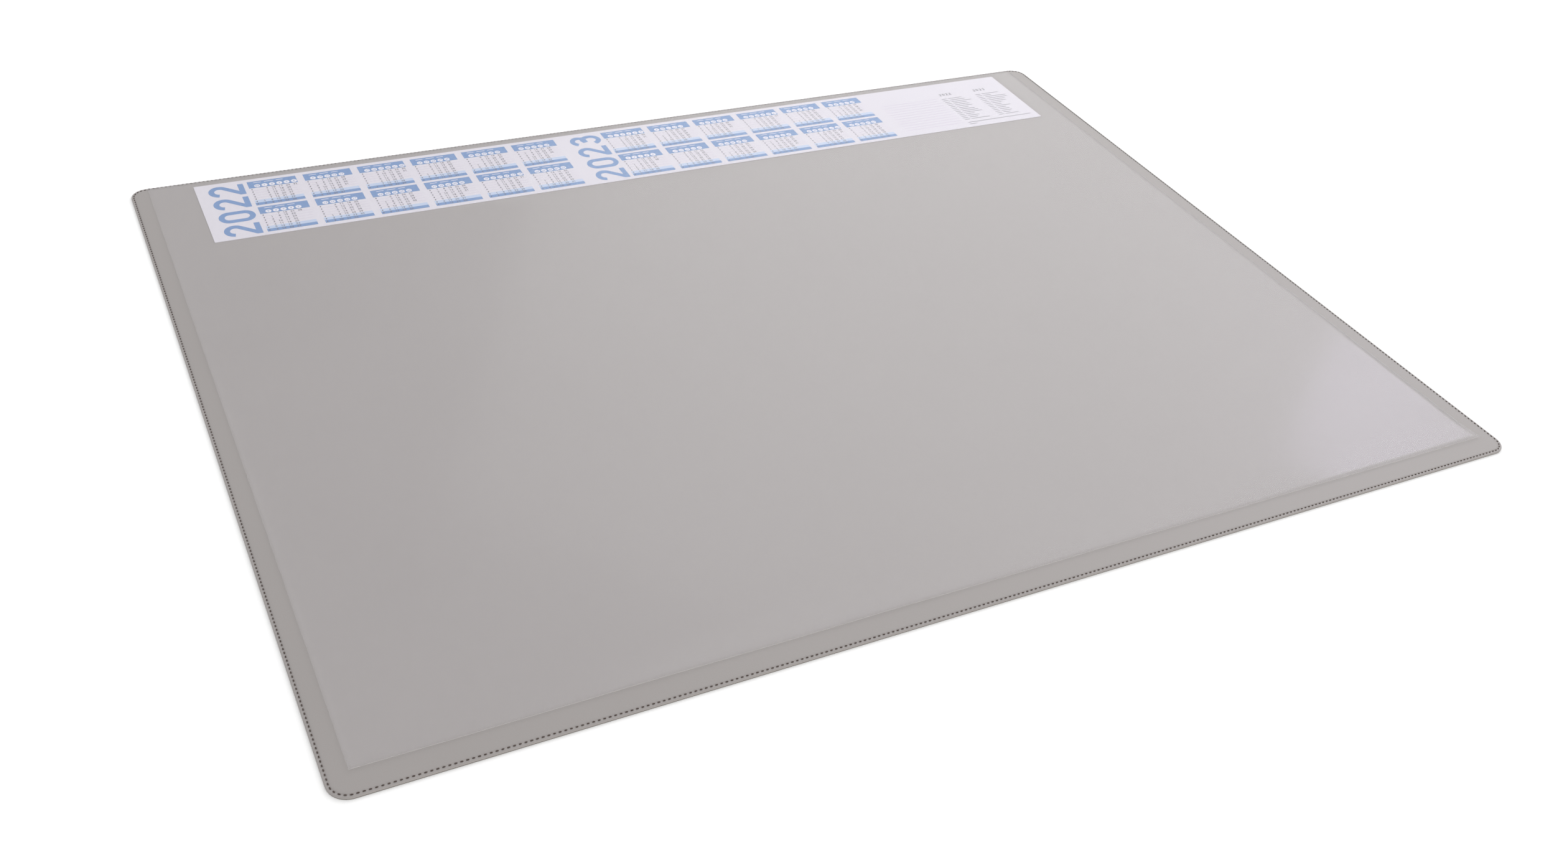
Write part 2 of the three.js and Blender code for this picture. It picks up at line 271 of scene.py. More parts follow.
board = printed_finish("printed_card", screen(212, 209, 217), screen(219, 216, 224), 0.65)
ink_blue = printed_finish("ink_blue", screen(88, 131, 184), screen(99, 141, 192), 0.5)
ink_light = printed_finish("ink_light_blue", screen(180, 196, 222), screen(187, 202, 227), 0.5)
ink_white = printed_finish("ink_white", screen(222, 220, 228), screen(230, 228, 235), 0.5)
ink_grey = printed_finish("ink_grey", screen(72, 72, 86), screen(88, 88, 102), 0.5)
ink_pale = printed_finish("ink_pale_grey", screen(124, 123, 134), screen(138, 137, 148), 0.5)
ink_line = printed_finish("ink_lilac_line", screen(182, 168, 194), screen(190, 176, 202), 0.5)
print("inks:", [m.name for m in bpy.data.materials if m.name.startswith("ink")])

# %% [markdown]
# The thread is a matt twisted polyester, a warm brown-grey that is darker than the cover. Along the rear,
# where it lies on the film, it is coloured paler; that it grows paler to the right is painted light.

# %% Thread
thread_low, thread_high = screen(58, 49, 45), screen(92, 80, 75)
# pale grey for the upper thread along the rear; its rise to the right is painted light
thread_pale_rear = screen(168, 166, 165)
fibre_scale, lot_scale, fibre_height = 5200, 120, 0.08 * mm
film_low, film_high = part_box("clear_overlay")
mask_soft = 2 * mm

seam_thread, maker, shader = finish("seam_thread", {"Roughness": 0.85, "Specular IOR Level": 0.3})
fibre = noise(maker, fibre_scale, detail=1)
lot = noise(maker, lot_scale, detail=1, offset=(5, 0, 0))
twist = blend(maker, fibre * 0.6 + lot * 0.4, thread_low, thread_high)
thread_place = maker.node("ShaderNodeSeparateXYZ", None, {"Vector": place_on(maker)})
across, back, up = (maker.out(thread_place, axis) for axis in "XYZ")
at_rear = ((back - (film_high.y - 2 * mask_soft)) / mask_soft).clamped()
in_film = ((film_high.x - across.absolute()) / mask_soft).clamped()
upper_side = ((up - 1 * mm) / (0.2 * mm)).clamped()
# paler along the rear on the film, and more so to the right, which is painted light
pale_rear_and_painted_light = at_rear * in_film * upper_side * (across * 0.7 + 0.72)
join_to(maker, blend(maker, pale_rear_and_painted_light, twist, thread_pale_rear), shader, "Base Color")
join_to(maker, bump(maker, fibre, 0.6, fibre_height), shader, "Normal")
join_to(maker, fibre * 0.1 + 0.8, shader, "Roughness")
print("the thread is pale from y =", round((film_high.y - mask_soft) / mm, 1), "mm to the rear")

# %% [markdown]
# The film is clear plastic with a matt upper side. It lets most light through and adds a thin veil of
# scattered light of its own. Principled's Alpha does both: it is small all over, with a fine grain where
# the matt side is a little denser. The gloss of the upper side is Principled's coat. The cut edge of the
# sheet has a finish of its own, whose near-white colour is a painted highlight for the light it collects.


# %% Clear film
film_veil, veil_grain = 0.066, 0.03
haze_low, haze_high = screen(222, 218, 222), screen(231, 228, 232)
# painted highlight: the near-white colour of the film's cut edge
edge_highlight_low, edge_highlight_high = screen(232, 232, 234), screen(244, 244, 246)
drift_scale, matt_scale, grain_scale, cut_scale = 5, 3000, 800, 300
matt_height = 0.02 * mm

film_constants = {"Roughness": 0.34, "IOR": 1.5, "Coat Weight": 1.0, "Coat Roughness": 0.13}
clear_film, maker, shader = finish("clear_film", film_constants)
drift = noise(maker, drift_scale, detail=2)
matt = noise(maker, matt_scale, detail=1)
grain = noise(maker, grain_scale, detail=2, roughness=0.7)
join_to(maker, blend(maker, drift, haze_low, haze_high), shader, "Base Color")
join_to(maker, grain * veil_grain + film_veil, shader, "Alpha")
join_to(maker, matt * 0.1 + drift * 0.06 + 0.26, shader, "Roughness")
join_to(maker, bump(maker, matt, 0.2, matt_height), shader, "Normal")

film_edge, maker, shader = finish("clear_film_edge", {"Roughness": 0.3, "IOR": 1.46, "Alpha": 0.3})
join_to(maker, blend(maker, noise(maker, cut_scale), edge_highlight_low, edge_highlight_high), shader, "Base Color")
print("the film veils", round(100 * (film_veil + veil_grain / 2), 1), "per cent of what lies under it")

# %% [markdown]
# ## The seam's path
# Cover and stitches follow the pad's outline at some distance in from it. One function gives the place and
# the inward direction at any length along the seam, and everything else is an offset from that. The seam
# line is the reference because its stitches have to come out evenly: their number divides by eight, so that
# the flat rings of the cover can halve their columns four times.

# %% Sizes of the pad, from the measured model
cover_low_corner, cover_high_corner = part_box("top_cover")
pad_half_length = cover_high_corner.x
pad_half_depth = cover_high_corner.y
cover_top = cover_high_corner.z
cover_base = cover_low_corner.z
corner_radius = 9.7 * mm
seam_inset = 1.4 * mm
stitch_pitch_wanted = 2.45 * mm

seam_radius = corner_radius - seam_inset
run_x = 2 * (pad_half_length - corner_radius)
run_y = 2 * (pad_half_depth - corner_radius)
quarter = seam_radius * math.pi / 2
seam_length = 2 * (run_x + run_y) + 4 * quarter
columns_per_stitch = 2
halvings = 4
even_share = 2**halvings // columns_per_stitch
stitch_count = round(seam_length / stitch_pitch_wanted / even_share) * even_share
stitch_pitch = seam_length / stitch_count
print(f"seam {seam_length / mm:.1f} mm, {stitch_count} stitches of {stitch_pitch / mm:.3f} mm")


# %% Place along the seam
def seam_point(length):
    """Place on the seam's line and inward direction, at a length from the front left corner."""
    length %= seam_length
    x, y = pad_half_length - corner_radius, pad_half_depth - corner_radius
    sides = [
        (Vector((-x, -y)), Vector((1, 0)), run_x),
        (Vector((x, -y)), Vector((0, 1)), run_y),
        (Vector((x, y)), Vector((-1, 0)), run_x),
        (Vector((-x, y)), Vector((0, -1)), run_y),
    ]
    for centre, along, run in sides:
        outward = Vector((along.y, -along.x))
        if length <= run:
            return centre + along * length + outward * seam_radius, -outward
        length -= run
        if length <= quarter:
            turn = Matrix.Rotation(length / seam_radius, 2)
            outward = turn @ outward
            return centre + along * run + outward * seam_radius, -outward
        length -= quarter
    return seam_point(0)


for share in (0.0, 0.25, 0.5):
    print("seam at", share, [round(v / mm, 1) for v in seam_point(share * seam_length)[0]])


# %% Mesh and piece helpers
def mesh_object(name, points, faces, materials, smooth=True):
    """A mesh object from points and faces, at the origin."""
    mesh = bpy.data.meshes.new(name)
    mesh.from_pydata([tuple(p) for p in points], [], faces)
    for material in materials:
        mesh.materials.append(material)
    mesh.polygons.foreach_set("use_smooth", [smooth] * len(mesh.polygons))
    mesh.validate()
    made = bpy.data.objects.new(name, mesh)
    bpy.context.scene.collection.objects.link(made)
    return made


def keep(piece, slot, *replaced):
    """Fixes a finished piece to the model and hides the solids that it stands for."""
    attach(piece, "root")
    if replaced:
        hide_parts(*replaced)
    faces = len(piece.data.polygons)
    print(f"{piece.name}: {faces} faces")
    return piece


# %% [markdown]
# ## Cover sheet
# The edge of a sewn sheet isn't plain. Each stitch pulls the sheet down into the foam, so that the groove
# is a row of small dimples, and the rim outside it is drawn in a little at every hole. The cover is built
# as rings that run round the pad, with two columns for each stitch, one at the hole and one in the middle
# of the stitch. Past the groove the sheet is flat, so each further ring has half as many columns.

# %% Cover rings
rim_drop = 0.12 * mm
edge_radius = 0.4 * mm
groove_floor = 0.35 * mm
groove_wall = 0.3 * mm
groove_depth = 0.14 * mm
pull = 0.03 * mm
edge_steps, edge_pull = 6, 0.2

columns = stitch_count * columns_per_stitch
rings = [(0.0, cover_base, 0.0)]  # inset, height and share of the pull at a hole
rim_top = cover_top - rim_drop
for step in range(edge_steps + 1):
    share = step / edge_steps
    angle = math.pi / 2 * share
    inset = edge_radius * (1 - math.cos(angle))
    rings.append((inset, rim_top - edge_radius * (1 - math.sin(angle)), edge_pull * share))
groove_reach = groove_floor + groove_wall
groove_shoulder = groove_floor + groove_wall * 0.6
for offset, depth_share, pull_share in (
    (-groove_reach, 0.0, 0.5),
    (-groove_shoulder, 0.25, 0.8),
    (-groove_floor, 1.0, 1.0),
    (groove_floor, 1.0, 1.0),
    (groove_shoulder, 0.25, 0.8),
    (groove_reach, 0.0, 0.5),
):
    brim = rim_top if offset < 0 else cover_top
    height = brim + (cover_top - groove_depth - brim) * depth_share
    rings.append((seam_inset + offset, height, pull_share))
flat_insets = [inset * mm for inset in (2.8, 3.8, 5.2, 7.2)]
print(len(rings), "fine rings and", len(flat_insets), "flat ones")


def cover_points():
    """Points of the fine rings, then of the flat ones, then the middle of the top."""
    seams = [seam_point(column * stitch_pitch / columns_per_stitch) for column in range(columns)]
    points = []
    for inset, height, pull_share in rings:
        for column, (place, inward) in enumerate(seams):
            at_hole = column % columns_per_stitch == 0
            drop = pull * pull_share if at_hole else 0
            draw = 0.3 * drop if inset < seam_inset else 0
            flat = place + inward * (inset - seam_inset + draw)
            points.append((flat.x, flat.y, height - drop))
    for level, inset in enumerate(flat_insets):
        for column in range(0, columns, 2 ** (level + 1)):
            place, inward = seams[column]
            flat = place + inward * (inset - seam_inset)
            points.append((flat.x, flat.y, cover_top))
    return points + [(0, 0, cover_top), (0, 0, cover_base)]


def cover_faces():
    """Quads between fine rings, triangles where the columns halve, and two fans."""
    faces = []
    for ring in range(len(rings) - 1):
        for column in range(columns):
            after = (column + 1) % columns
            low, high = ring * columns, (ring + 1) * columns
            faces.append((low + column, low + after, high + after, high + column))
    start, count = (len(rings) - 1) * columns, columns
    for _ in flat_insets:
        inner = start + count
        for pair in range(count // 2):
            a, b, c = start + 2 * pair, start + 2 * pair + 1, start + (2 * pair + 2) % count
            d, e = inner + pair, inner + (pair + 1) % (count // 2)
            faces += [(a, b, d), (b, e, d), (b, c, e)]
        start, count = inner, count // 2
    middle = start + count
    faces += [(start + i, start + (i + 1) % count, middle) for i in range(count)]
    faces += [((i + 1) % columns, i, middle + 1) for i in range(columns)]
    return faces


cover = mesh_object("cover_sheet_sewn", cover_points(), cover_faces(), [cover_sheet])
keep(cover, "cover_sheet", "top_cover")

# %% [markdown]
# The backing's solid already has the right form, so it stays and only gets its finish.

# %% Backing
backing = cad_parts["anti_slip_backing"]
backing.data.materials.clear()
backing.data.materials.append(backing_foam)
print("backing:", len(backing.data.polygons), "faces")

# %% [markdown]
# ## A way to run Geometry Nodes once
# A Geometry Nodes tree is a recipe with named inputs. It is put on an object as a modifier, its inputs are
# set by their identifiers, and the evaluated result is copied into a plain mesh, which is what is kept.


# %% Geometry Nodes helpers
def recipe(name, inputs):
    """A new tree with a geometry input, the named inputs, and a geometry output."""
    tree = bpy.data.node_groups.new(name, "GeometryNodeTree")
    tree.interface.new_socket("Geometry", in_out="INPUT", socket_type="NodeSocketGeometry")
    for label, kind in inputs.items():
        tree.interface.new_socket(label, in_out="INPUT", socket_type="NodeSocket" + kind)
    tree.interface.new_socket("Geometry", in_out="OUTPUT", socket_type="NodeSocketGeometry")
    maker = Maker(tree)
    source = maker.node("NodeGroupInput")
    wires = {label: maker.out(source, label) for label in ("Geometry", *inputs)}
    return maker, wires


def serve(maker, geometry, material=None):
    """Ends a tree in real geometry with its material."""
    real = maker.out(maker.node("GeometryNodeRealizeInstances", None, {"Geometry": geometry}), "Geometry")
    if material is not None:
        inputs = {"Geometry": real, "Material": material}
        real = maker.out(maker.node("GeometryNodeSetMaterial", None, inputs), "Geometry")
    maker.node("NodeGroupOutput", None, {"Geometry": real})
    return maker.tree


def cook(name, source, tree, values):
    """Runs a tree on an object and gives the result as a plain object; the source is used up."""
    modifier = source.modifiers.new(tree.name, "NODES")
    modifier.node_group = tree
    identifiers = {i.name: i.identifier for i in tree.interface.items_tree if i.in_out == "INPUT"}
    for label, value in values.items():
        modifier[identifiers[label]] = value
    bpy.context.view_layer.update()
    evaluated = source.evaluated_get(bpy.context.evaluated_depsgraph_get())
    mesh = bpy.data.meshes.new_from_object(evaluated)
    mesh.name = name
    bpy.data.objects.remove(source)
    made = bpy.data.objects.new(name, mesh)
    bpy.context.scene.collection.objects.link(made)
    return made


# %% [markdown]
# ## Stitches
# A lockstitch shows on both sides as a row of short threads, with a small gap at each hole. One stitch is a
# low-sided egg shape of 30 faces. The tree cuts the seam's line into steps of the stitch's pitch, turns a
# stitch along each step, and makes every stitch slightly longer or shorter with a fixed seed. Along the
# rear the line climbs onto the film, because the film is sewn in there. The seam starts and ends on the
# front edge, near the left corner.

# %% Stitch recipe
measures = {label: "Float" for label in ("Pitch", "Length", "Width", "Height")}
maker, wires = recipe("stitches along a line", {**measures, "Seed": "Int", "Thread": "Material"})
line = maker.out(maker.node("GeometryNodeMeshToCurve", None, {"Mesh": wires["Geometry"]}), "Curve")
cut = {"Curve": line, "Length": wires["Pitch"]}
steps = maker.node("GeometryNodeResampleCurve", {"mode": "LENGTH"}, cut)
egg = maker.node("GeometryNodeMeshUVSphere", None, {"Segments": 6, "Rings": 5, "Radius": 0.5})
round_egg = maker.node("GeometryNodeSetShadeSmooth", None, {"Geometry": maker.out(egg, "Mesh")})
lying = {"Geometry": maker.out(round_egg, "Geometry"), "Rotation": (0, math.pi / 2, 0)}
turned = maker.node("GeometryNodeTransform", None, lying)
tangent = maker.out(maker.node("GeometryNodeInputTangent"), "Tangent")
turning = {"axis": "X", "pivot_axis": "Z"}
along = maker.node("FunctionNodeAlignRotationToVector", turning, {"Vector": tangent})
jitter = {"Min": 0.9, "Max": 1.06, "Seed": wires["Seed"]}
spread = maker.out(maker.node("FunctionNodeRandomValue", {"data_type": "FLOAT"}, jitter), "Value")
sizes = {"X": wires["Length"] * spread, "Y": wires["Width"], "Z": wires["Height"]}
size = maker.out(maker.node("ShaderNodeCombineXYZ", None, sizes), "Vector")
stitched = maker.node(
    "GeometryNodeInstanceOnPoints",
    None,
    {
        "Points": maker.out(steps, "Curve"),
        "Instance": maker.out(turned, "Geometry"),
        "Rotation": maker.out(along, "Rotation"),
        "Scale": size,
    },
)
stitch_tree = serve(maker, maker.out(stitched, "Instances"), wires["Thread"])
print("stitch recipe:", len(stitch_tree.nodes), "nodes")

# %% Both rows of stitches
film_half = film_high.x
film_thickness = 0.3 * mm
film_seat = 0.05 * mm
film_climb = 1.2 * mm
stitch_length, stitch_width = 1.4 * mm, 0.64 * mm
upper_stitch_height, lower_stitch_height = 0.4 * mm, 0.22 * mm
lower_middle = 0.15 * mm
points_per_stitch, stitch_seed = 4, 7
groove_bottom = cover_top - groove_depth
seam_start = 16 * mm - corner_radius
seam_end = seam_length + 12.4 * mm - corner_radius


def seam_line(name, height_at, start, end):
    """The seam's line as a chain of short edges, at a height for each place."""
    count = round((end - start) / stitch_pitch)
    points = []
    for i in range(count * points_per_stitch + 1):
        place, _ = seam_point(start + i * stitch_pitch / points_per_stitch)
        points.append((place.x, place.y, height_at(place)))
    mesh = bpy.data.meshes.new(name)
    mesh.from_pydata(points, [(i, i + 1) for i in range(len(points) - 1)], [])
    chain = bpy.data.objects.new(name, mesh)
    bpy.context.scene.collection.objects.link(chain)
    return chain


def upper_height(place):
    """Middle of the upper thread: in the groove, or on the film where the film is sewn in."""
    in_groove = groove_bottom + upper_stitch_height * 0.42
    on_film = in_groove + film_seat + film_thickness
    if place.y < 0:
        return in_groove
    off = min(max((abs(place.x) - film_half) / film_climb - 0.2, 0), 1)
    return on_film + (in_groove - on_film) * off


for name, node, height_at, height in (
    ("upper_stitches", "needle_thread", upper_height, upper_stitch_height),
    ("lower_stitches", "bobbin_thread", lambda place: lower_middle, lower_stitch_height),
):
    chain = seam_line(name + "_line", height_at, seam_start, seam_end)
    values = {
        "Pitch": stitch_pitch,
        "Length": stitch_length,
        "Width": stitch_width,
        "Height": height,
        "Seed": stitch_seed,
        "Thread": seam_thread,
    }
    keep(cook(name, chain, stitch_tree, values), "seam_thread", node)

# %% [markdown]
# ## Print: a pen for figures
# The figures on such calendars are drawn as a line of even width, like stencilled figures on a drawing. So
# each figure is a few strokes: arcs and straight lines in a box that is 1 high and 0.6 wide. The shares in
# `strokes` are read off that box, and `pen` is the width of the line in it. A stroke
# becomes a flat bar of even width, and where strokes overlap they are fused into one closed shape.


# %% Strokes of the ten figures
figure_width = 0.6


def arc(cx, cy, rx, ry, start, end, steps):
    """Points on an ellipse, from one angle to another in degrees."""
    angles = [math.radians(start + (end - start) * i / steps) for i in range(steps + 1)]
    return [(cx + rx * math.cos(a), cy + ry * math.sin(a)) for a in angles]


def strokes(figure, pen, steps):
    """Middle lines of a figure's strokes; pen is their width, steps the points of a half circle."""
    left, right, top, base = pen / 2, figure_width - pen / 2, 1 - pen / 2, pen / 2
    middle, half = figure_width / 2, (figure_width - pen) / 2
    if figure == 0:
        ring = arc(middle, top - half, half, half, 0, 180, steps)
        ring += arc(middle, base + half, half, half, 180, 360, steps)
        return [ring + ring[:1]]
    if figure == 1:
        return [[(0.08, 0.78), (0.33, 1 - pen * 0.35)], [(0.35, 1), (0.35, 0)]]
    if figure == 2:
        hook = arc(middle, top - half, half, half, 172, -32, steps + 2)
        return [hook + [(0.35 * pen, 0.64 * pen)], [(0, base), (figure_width, base)]]
    if figure == 3:
        waist = 0.53
        lower = arc(middle, base + 0.255, half, 0.255, 80, -160, steps + 2)
        upper_bowl = (top - waist) / 2
        upper = arc(middle - 0.01, waist + upper_bowl, half * 0.94, upper_bowl, 160, -82, steps + 1)
        return [upper + [(0.2, waist)], [(0.2, waist)] + lower]
    if figure == 4:
        bar, stem = 0.27, 0.43
        slope = [(stem - 0.01, 1), (left * 0.8, bar + 0.03)]
        return [slope, [(0, bar), (figure_width, bar)], [(stem, 0.55), (stem, 0)]]
    if figure == 5:
        bowl = arc(middle - 0.02, base + 0.28, half * 1.05, 0.28, 125, -150, steps + 2)
        neck = left * 0.9
        return [[(0.56, top), (0.06, top)], [(left, 1), (neck, 0.5)], [(neck, 0.52)] + bowl]
    if figure == 6:
        ring = arc(middle, base + 0.27, half, 0.27, 0, 360, 2 * steps)
        return [ring, [(0.44, 0.97), (left * 1.25, base + 0.33)]]
    if figure == 7:
        return [[(0, top), (figure_width, top)], [(0.56, top), (0.2, 0)]]
    if figure == 8:
        return [
            arc(middle, top - 0.2, half * 0.88, 0.2, 0, 360, 2 * steps),
            arc(middle, base + 0.24, half, 0.24, 0, 360, 2 * steps),
        ]
    ring = arc(middle, top - 0.27, half, 0.27, 0, 360, 2 * steps)
    return [ring, [(0.16, 0.03), (right - left * 0.25, top - 0.33)]]


print("strokes per figure:", [len(strokes(figure, 0.16, 4)) for figure in range(10)])


# %% Stroke bars
same_place = 1e-6


def bar_along(path, width, thickness, points, faces):
    """Adds a bar of even width along a path, flat below at 0 and above at thickness."""
    closed = len(path) > 3 and (Vector(path[0]) - Vector(path[-1])).length < same_place
    line = [Vector(p) for p in (path[:-1] if closed else path)]
    count, first = len(line), len(points)
    for i, place in enumerate(line):
        before = line[i - 1] if closed or i else place
        after = line[(i + 1) % count] if closed or i + 1 < count else place
        directions = [d.normalized() for d in (place - before, after - place) if d.length > same_place]
        mean = sum(directions, Vector((0, 0))).normalized()
        stretch = 1 / max(mean.dot(directions[0]), 0.5)  # keeps the width at a bend, up to a sharp one
        side = Vector((-mean.y, mean.x)) * width / 2 * stretch
        for height in (0, thickness):
            for edge in (place - side, place + side):
                points.append((edge.x, edge.y, height))
    for i in range(count if closed else count - 1):
        a, b = first + 4 * i, first + 4 * ((i + 1) % count)
        faces += [(a, a + 1, b + 1, b), (a + 2, b + 2, b + 3, a + 3)]
        faces += [(a, b, b + 2, a + 2), (a + 1, a + 3, b + 3, b + 1)]
    if not closed:
        a, b = first, first + 4 * (count - 1)
        faces += [(a, a + 2, a + 3, a + 1), (b, b + 1, b + 3, b + 2)]


# %% Fusing recipe
maker, wires = recipe("fuse strokes", {})
fused = maker.node(
    "GeometryNodeMeshBoolean",
    {"operation": "UNION", "solver": "EXACT"},
    {"Mesh": wires["Geometry"], "Self Intersection": True},
)
fuse_tree = serve(maker, maker.out(fused, "Mesh"))


def stamp_object(name, points, faces, fuse=False):
    """A shape for stamping: its thickness is 1 and its base is at 0."""
    shape = mesh_object(name, points, faces, [], smooth=False)
    shape = cook(name, shape, fuse_tree, {}) if fuse else shape
    bpy.context.scene.collection.objects.unlink(shape)
    stamps.objects.link(shape)
    return shape


def figure_stamp(name, figure, pen, steps):
    """A figure's strokes as bars, fused into one shape."""
    points, faces = [], []
    for path in strokes(figure, pen, steps):
        bar_along(path, pen, 1, points, faces)
    return stamp_object(name, points, faces, fuse=True)


# %% [markdown]
# ## Print: stamping
# All print is made by one recipe. A list of points says where each mark goes, which stamp it uses and how
# large it is. The stamps are ten small figures, ten large ones with rounder arcs, a square and a disc, and
# the recipe picks one by its place in the alphabet of their names. Ink is a few hundredths of a millimetre
# thick here, so that it is a closed solid and never fights with the card.

# %% Stamps
stamps = bpy.data.collections.new("stamps")
small_figure, large_figure, square_stamp, disc_stamp = 0, 10, 20, 21


def prism_stamp(name, outline):
    """An outline that runs counterclockwise, 1 thick."""
    count = len(outline)
    points = [(x, y, z) for z in (0, 1) for x, y in outline]
    faces = [tuple(reversed(range(count))), tuple(range(count, 2 * count))]
    for i in range(count):
        after = (i + 1) % count
        faces.append((i, after, count + after, count + i))
    return stamp_object(name, points, faces)


for first, pen, steps in ((small_figure, 0.16, 4), (large_figure, 0.159, 22)):
    for figure in range(10):
        figure_stamp(f"stamp_{first + figure:02d}", figure, pen, steps)
prism_stamp(f"stamp_{square_stamp}", [(-0.5, -0.5), (0.5, -0.5), (0.5, 0.5), (-0.5, 0.5)])
disc_sides = 20
turns = [2 * math.pi * i / disc_sides for i in range(disc_sides)]
prism_stamp(f"stamp_{disc_stamp}", [(math.cos(turn) / 2, math.sin(turn) / 2) for turn in turns])

# %% Stamping recipe
maker, wires = recipe("stamp on points", {"Stamps": "Collection", "Ink": "Material"})
shapes = maker.node(
    "GeometryNodeCollectionInfo",
    None,
    {"Collection": wires["Stamps"], "Separate Children": True, "Reset Children": True},
)


def attribute(maker, kind, name):
    """A value stored on the points by name."""
    stored = maker.node("GeometryNodeInputNamedAttribute", {"data_type": kind}, {"Name": name})
    return maker.out(stored, "Attribute")


pressed = maker.node(
    "GeometryNodeInstanceOnPoints",
    None,
    {
        "Points": wires["Geometry"],
        "Instance": maker.out(shapes, "Instances"),
        "Pick Instance": True,
        "Instance Index": attribute(maker, "INT", "stamp"),
        "Rotation": attribute(maker, "FLOAT_VECTOR", "turn"),
        "Scale": attribute(maker, "FLOAT_VECTOR", "size"),
    },
)
stamp_tree = serve(maker, maker.out(pressed, "Instances"), wires["Ink"])
print("stamping recipe:", len(stamp_tree.nodes), "nodes")


figure_spacing = 0.74


class Sheet:
    """A list of marks in one ink, all at one height."""

    def __init__(self, name, ink, base, thickness):
        self.name, self.ink, self.base, self.thickness = name, ink, base, thickness
        self.marks = []

    def mark(self, stamp, x, y, width, depth, turn=0.0):
        """One stamp; figures stand on y, the square and the disc lie round x and y."""
        self.marks.append((stamp, x, y, width, depth, turn))

    def bar(self, left, rear, width, depth):
        """A rectangle from its rear left corner."""
        self.mark(square_stamp, left + width / 2, rear - depth / 2, width, depth)

    def number(self, text, x, y, height, spacing=figure_spacing):
        """A number centred on x, with y at its middle."""
        left = x - height * (spacing * (len(text) - 1) + figure_width) / 2
        for i, figure in enumerate(text):
            place = left + i * spacing * height
            self.mark(small_figure + int(figure), place, y - height / 2, height, height)

    def press(self):
        """Makes the marks into one plain mesh."""
        mesh = bpy.data.meshes.new(self.name)
        mesh.from_pydata([(x, y, self.base) for _, x, y, *_ in self.marks], [], [])
        sizes = [v for m in self.marks for v in (m[3], m[4], self.thickness)]
        turns = [v for m in self.marks for v in (0, 0, m[5])]
        for label, kind, field, values in (
            ("stamp", "INT", "value", [m[0] for m in self.marks]),
            ("size", "FLOAT_VECTOR", "vector", sizes),
            ("turn", "FLOAT_VECTOR", "vector", turns),
        ):
            mesh.attributes.new(label, kind, "POINT").data.foreach_set(field, values)
        source = bpy.data.objects.new(self.name + "_points", mesh)
        bpy.context.scene.collection.objects.link(source)
        inputs = {"Stamps": stamps, "Ink": self.ink}
        return keep(cook(self.name, source, stamp_tree, inputs), "printed_card")


# %% [markdown]
# ## Calendar strip
# The card's solid stays and gets the board's finish. The print is laid out from the card's own corner: two
# years, each with its number turned on end and twelve months in two rows. Months run down and then across.
# A month has a header with a white disc for each week, then a row for each weekday. Saturday and Sunday
# have bands of blue. The dates are worked out, not typed in.

# %% Layout of the strip
strip_low, strip_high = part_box("calendar_strip")
card_left, card_rear, card_front = strip_low.x, strip_high.y, strip_low.y
solid_print = 0.03 * mm  # the solid card has thin fields on it, and the board is under those
card_top = strip_high.z - solid_print
strip_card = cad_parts["calendar_strip"]
strip_card.data.materials.clear()
strip_card.data.materials.append(board)

first_year_inset, year_pitch = 31 * mm, 233.5 * mm
month_pitch, month_width = 34.05 * mm, 29.5 * mm
row_pitch, rear_margin = 32.2 * mm, 3.2 * mm
header_depth = 8.3 * mm
saturday_offset, weekend_depth = 23.5 * mm, 3.1 * mm
week_inset, week_pitch = 5.2 * mm, 4.46 * mm
disc_offset, disc_size = 6.0 * mm, 3.6 * mm
day_offset, day_pitch = 9.95 * mm, 3.04 * mm
day_height, week_height = 1.75 * mm, 1.5 * mm
weekday_inset, weekday_width, weekday_depth = 1.3 * mm, 0.7 * mm, 1.2 * mm
title_offset, title_depth = 1.8 * mm, 0.5 * mm
title_marks = ((3.6 * mm, 4.6 * mm), (10.2 * mm, 5.4 * mm), (17.4 * mm, 4.2 * mm))
ruling_depth = 0.14 * mm
working_days = 5
years = (2022, 2023)

field_thickness = 0.045 * mm
ink_thickness = 0.015 * mm
field_top = card_top + field_thickness
bands = Sheet("print_blue_fields", ink_blue, card_top, field_thickness)
pale_bands = Sheet("print_light_fields", ink_light, card_top, field_thickness)
rulings = Sheet("print_rulings", ink_line, card_top, ink_thickness)
captions = Sheet("print_pale_marks", ink_pale, card_top, ink_thickness)
days = Sheet("print_dates", ink_grey, card_top, 2 * ink_thickness)
weekend_days = Sheet("print_weekend_dates", ink_grey, field_top, ink_thickness)
discs = Sheet("print_week_discs", ink_white, field_top, ink_thickness)
weeks = Sheet("print_week_numbers", ink_blue, field_top + ink_thickness, ink_thickness)
strip_size = [round(v / mm, 1) for v in strip_high - strip_low]
print("strip in mm:", strip_size[:2])


# %% Months
def month_corner(year, month):
    """Left and rear edge of a month's block."""
    column, row = divmod(month - 1, 2)
    left = card_left + first_year_inset + years.index(year) * year_pitch + column * month_pitch
    return left, card_rear - rear_margin - row * row_pitch


def month_frame(left, rear):
    """The fields that every month has."""
    bands.bar(left, rear, month_width, header_depth)
    pale_bands.bar(left, rear - saturday_offset, month_width, weekend_depth)
    bands.bar(left, rear - saturday_offset - weekend_depth, month_width, weekend_depth)
    for place, width in title_marks:
        discs.bar(left + place, rear - title_offset + title_depth / 2, width, title_depth)
    for weekday in range(7):
        y = rear - day_offset - weekday * day_pitch
        target = days if weekday < working_days else weekend_days
        mark_left = left + weekday_inset - weekday_width / 2
        target.bar(mark_left, y + weekday_depth / 2, weekday_width, weekday_depth)
        if weekday < working_days - 1:
            rulings.bar(left, y - day_pitch / 2 + ruling_depth / 2, month_width, ruling_depth)


